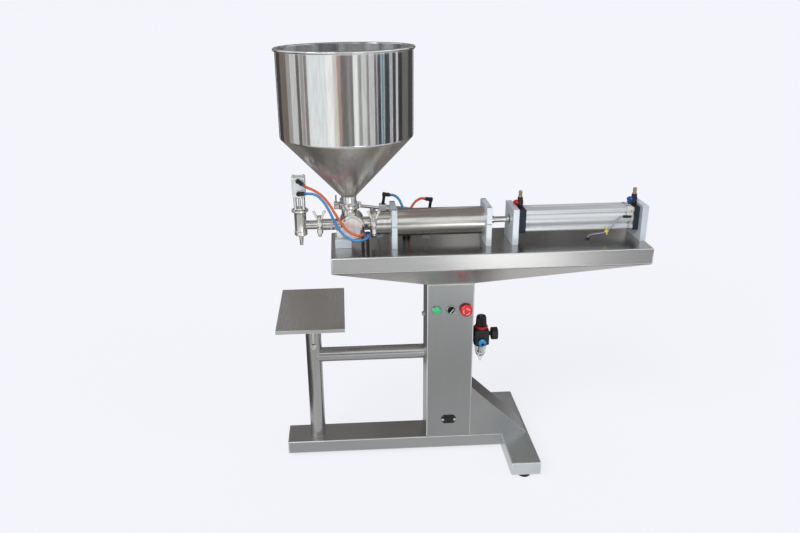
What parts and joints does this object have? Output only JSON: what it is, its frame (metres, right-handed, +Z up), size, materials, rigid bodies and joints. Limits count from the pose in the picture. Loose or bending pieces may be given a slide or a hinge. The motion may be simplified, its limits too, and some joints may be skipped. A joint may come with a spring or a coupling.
{
  "type": "piston paste filling machine",
  "caption": "Steel floor machine that draws paste from a hopper and pushes it through a turning valve to a nozzle over a lifting platform.",
  "frame": {"origin": "on the floor, under the middle of the machine's bounding box", "axes": "+X along the table towards the air cylinder, +Y away from the operator, +Z up"},
  "size_m": [1.162, 0.476, 1.3385],
  "materials": {
    "foot_rubber": "matte moulded rubber",
    "brushed_stainless": "brushed stainless sheet",
    "satin_stainless": "satin stainless sheet",
    "mirror_stainless": "mirror polished stainless",
    "polished_stainless": "polished stainless",
    "bright_steel": "turned bright steel",
    "blasted_aluminium": "bead blasted, clear anodised",
    "anodised_aluminium": "silver anodised",
    "black_plastic": "satin moulded",
    "knob_black": "semi gloss moulded",
    "piston_plastic": "turned white plastic",
    "screw_brass": "plated brass",
    "ring_blue": "moulded",
    "tube_orange": "clear tinted tube",
    "tube_blue": "clear tinted tube",
    "cable_grey": "extruded jacket",
    "bowl_clear": "clear moulded bowl",
    "needle_red": "painted",
    "button_green": "moulded",
    "stop_red": "moulded"
  },
  "bodies": {
    "frame": {"rubber_feet": "foot_rubber", "base_beam": "brushed_stainless", "cross_foot": "brushed_stainless", "gusset_box": "brushed_stainless", "column_shell": "brushed_stainless", "rear_panel": "brushed_stainless", "screws": "bright_steel", "table_tray": "satin_stainless", "table_belly": "satin_stainless", "outer_post": "brushed_stainless", "hopper_neck": "mirror_stainless", "hopper_cone": "mirror_stainless", "hopper_drum": "mirror_stainless", "clamp_rings": "polished_stainless", "support_block": "blasted_aluminium", "valve_body": "polished_stainless", "valve_caps": "polished_stainless", "actuator_cylinder": "anodised_aluminium", "fill_body": "polished_stainless", "fill_cage": "bright_steel", "fill_cylinder": "anodised_aluminium", "nozzle_tip": "polished_stainless", "barrel_heads": "polished_stainless", "product_barrel": "polished_stainless", "lower_cradles": "blasted_aluminium", "upper_cradles": "blasted_aluminium", "air_plates": "blasted_aluminium", "air_heads": "black_plastic", "profile_tube": "anodised_aluminium", "flow_controls": "black_plastic", "reed_switch": "bright_steel", "air_fittings": "black_plastic", "release_rings": "ring_blue", "orange_tubes": "tube_orange", "blue_tubes": "tube_blue", "sensor_cable": "cable_grey", "service_body": "black_plastic", "service_bowl": "bowl_clear", "gauge": "black_plastic", "button_bezels": "black_plastic", "mains_inlet": "black_plastic"},
    "platform": {"inner_post": "bright_steel", "platform_tray": "satin_stainless"},
    "platform_bolt": {"clamp_bolt": "bright_steel"},
    "hopper_nut": {"hopper_wing_nut": "polished_stainless"},
    "outlet_nut": {"outlet_wing_nut": "polished_stainless"},
    "cylinder_nut": {"cylinder_wing_nut": "polished_stainless"},
    "plug": {"valve_plug": "bright_steel", "valve_lever": "bright_steel"},
    "actuator": {"actuator_rod": "bright_steel"},
    "plunger": {"fill_plunger": "bright_steel"},
    "piston": {"product_piston": "piston_plastic", "piston_rod": "bright_steel"},
    "front_screw": {"front_flow_screw": "screw_brass"},
    "rear_screw": {"rear_flow_screw": "screw_brass"},
    "pressure_knob": {"service_knob": "knob_black"},
    "needle": {"gauge_needle": "needle_red"},
    "start_button": {"green_button": "button_green"},
    "selector": {"selector_knob": "knob_black"},
    "stop": {"stop_button": "stop_red"}
  },
  "joints": [
    {"name": "platform_height", "type": "slide", "parent": "frame", "child": "platform", "axis": [0, 0, 1], "range_m": [0, 0.05]},
    {"name": "platform_bolt_turn", "type": "hinge", "parent": "platform", "child": "platform_bolt", "pos_m": [-0.475, -0.034, 0.4003], "axis": [0, 1, 0], "continuous": true},
    {"name": "hopper_nut_turn", "type": "hinge", "parent": "frame", "child": "hopper_nut", "pos_m": [-0.384, 0.038, 0.869], "axis": [0, 1, 0], "continuous": true},
    {"name": "outlet_nut_turn", "type": "hinge", "parent": "frame", "child": "outlet_nut", "pos_m": [-0.436, -0.0355, 0.847], "axis": [0, 0, 1], "continuous": true},
    {"name": "cylinder_nut_turn", "type": "hinge", "parent": "frame", "child": "cylinder_nut", "pos_m": [-0.27, -0.053, 0.847], "axis": [0, 0, 1], "continuous": true},
    {"name": "plug_turn", "type": "hinge", "parent": "frame", "child": "plug", "pos_m": [-0.336, 0, 0.809], "axis": [0, 1, 0], "range_deg": [0, 90]},
    {"name": "actuator_slide", "type": "slide", "parent": "frame", "child": "actuator", "axis": [0.9903, 0, -0.1392], "range_m": [0, 0.0665]},
    {"name": "plunger_lift", "type": "slide", "parent": "frame", "child": "plunger", "axis": [0, 0, 1], "range_m": [0, 0.015]},
    {"name": "piston_stroke", "type": "slide", "parent": "frame", "child": "piston", "axis": [1, 0, 0], "range_m": [0, 0.225]},
    {"name": "front_screw_turn", "type": "hinge", "parent": "frame", "child": "front_screw", "pos_m": [0.1915, 0, 0.9], "axis": [0, 0, 1], "continuous": true},
    {"name": "rear_screw_turn", "type": "hinge", "parent": "frame", "child": "rear_screw", "pos_m": [0.5535, 0, 0.9], "axis": [0, 0, 1], "continuous": true},
    {"name": "pressure_knob_turn", "type": "hinge", "parent": "frame", "child": "pressure_knob", "pos_m": [0.082, 0, 0.465], "axis": [0, 0, 1], "continuous": true},
    {"name": "needle_turn", "type": "hinge", "parent": "frame", "child": "needle", "pos_m": [0.137, 0, 0.415], "axis": [-1, 0, 0], "range_deg": [0, 270]},
    {"name": "start_push", "type": "slide", "parent": "frame", "child": "start_button", "axis": [0, 1, 0], "range_m": [0, 0.003], "stiffness_N_per_m": 400, "springref_m": -0.003},
    {"name": "selector_turn", "type": "hinge", "parent": "frame", "child": "selector", "pos_m": [-0.027, -0.06, 0.528], "axis": [0, 1, 0], "range_deg": [-80, 0]},
    {"name": "stop_push", "type": "slide", "parent": "frame", "child": "stop", "axis": [0, 1, 0], "range_m": [0, 0.004]}
  ],
  "couplings": [
    {"joint": "actuator_slide", "follows": "plug_turn", "m_per_rad": 0.042315}
  ]
}
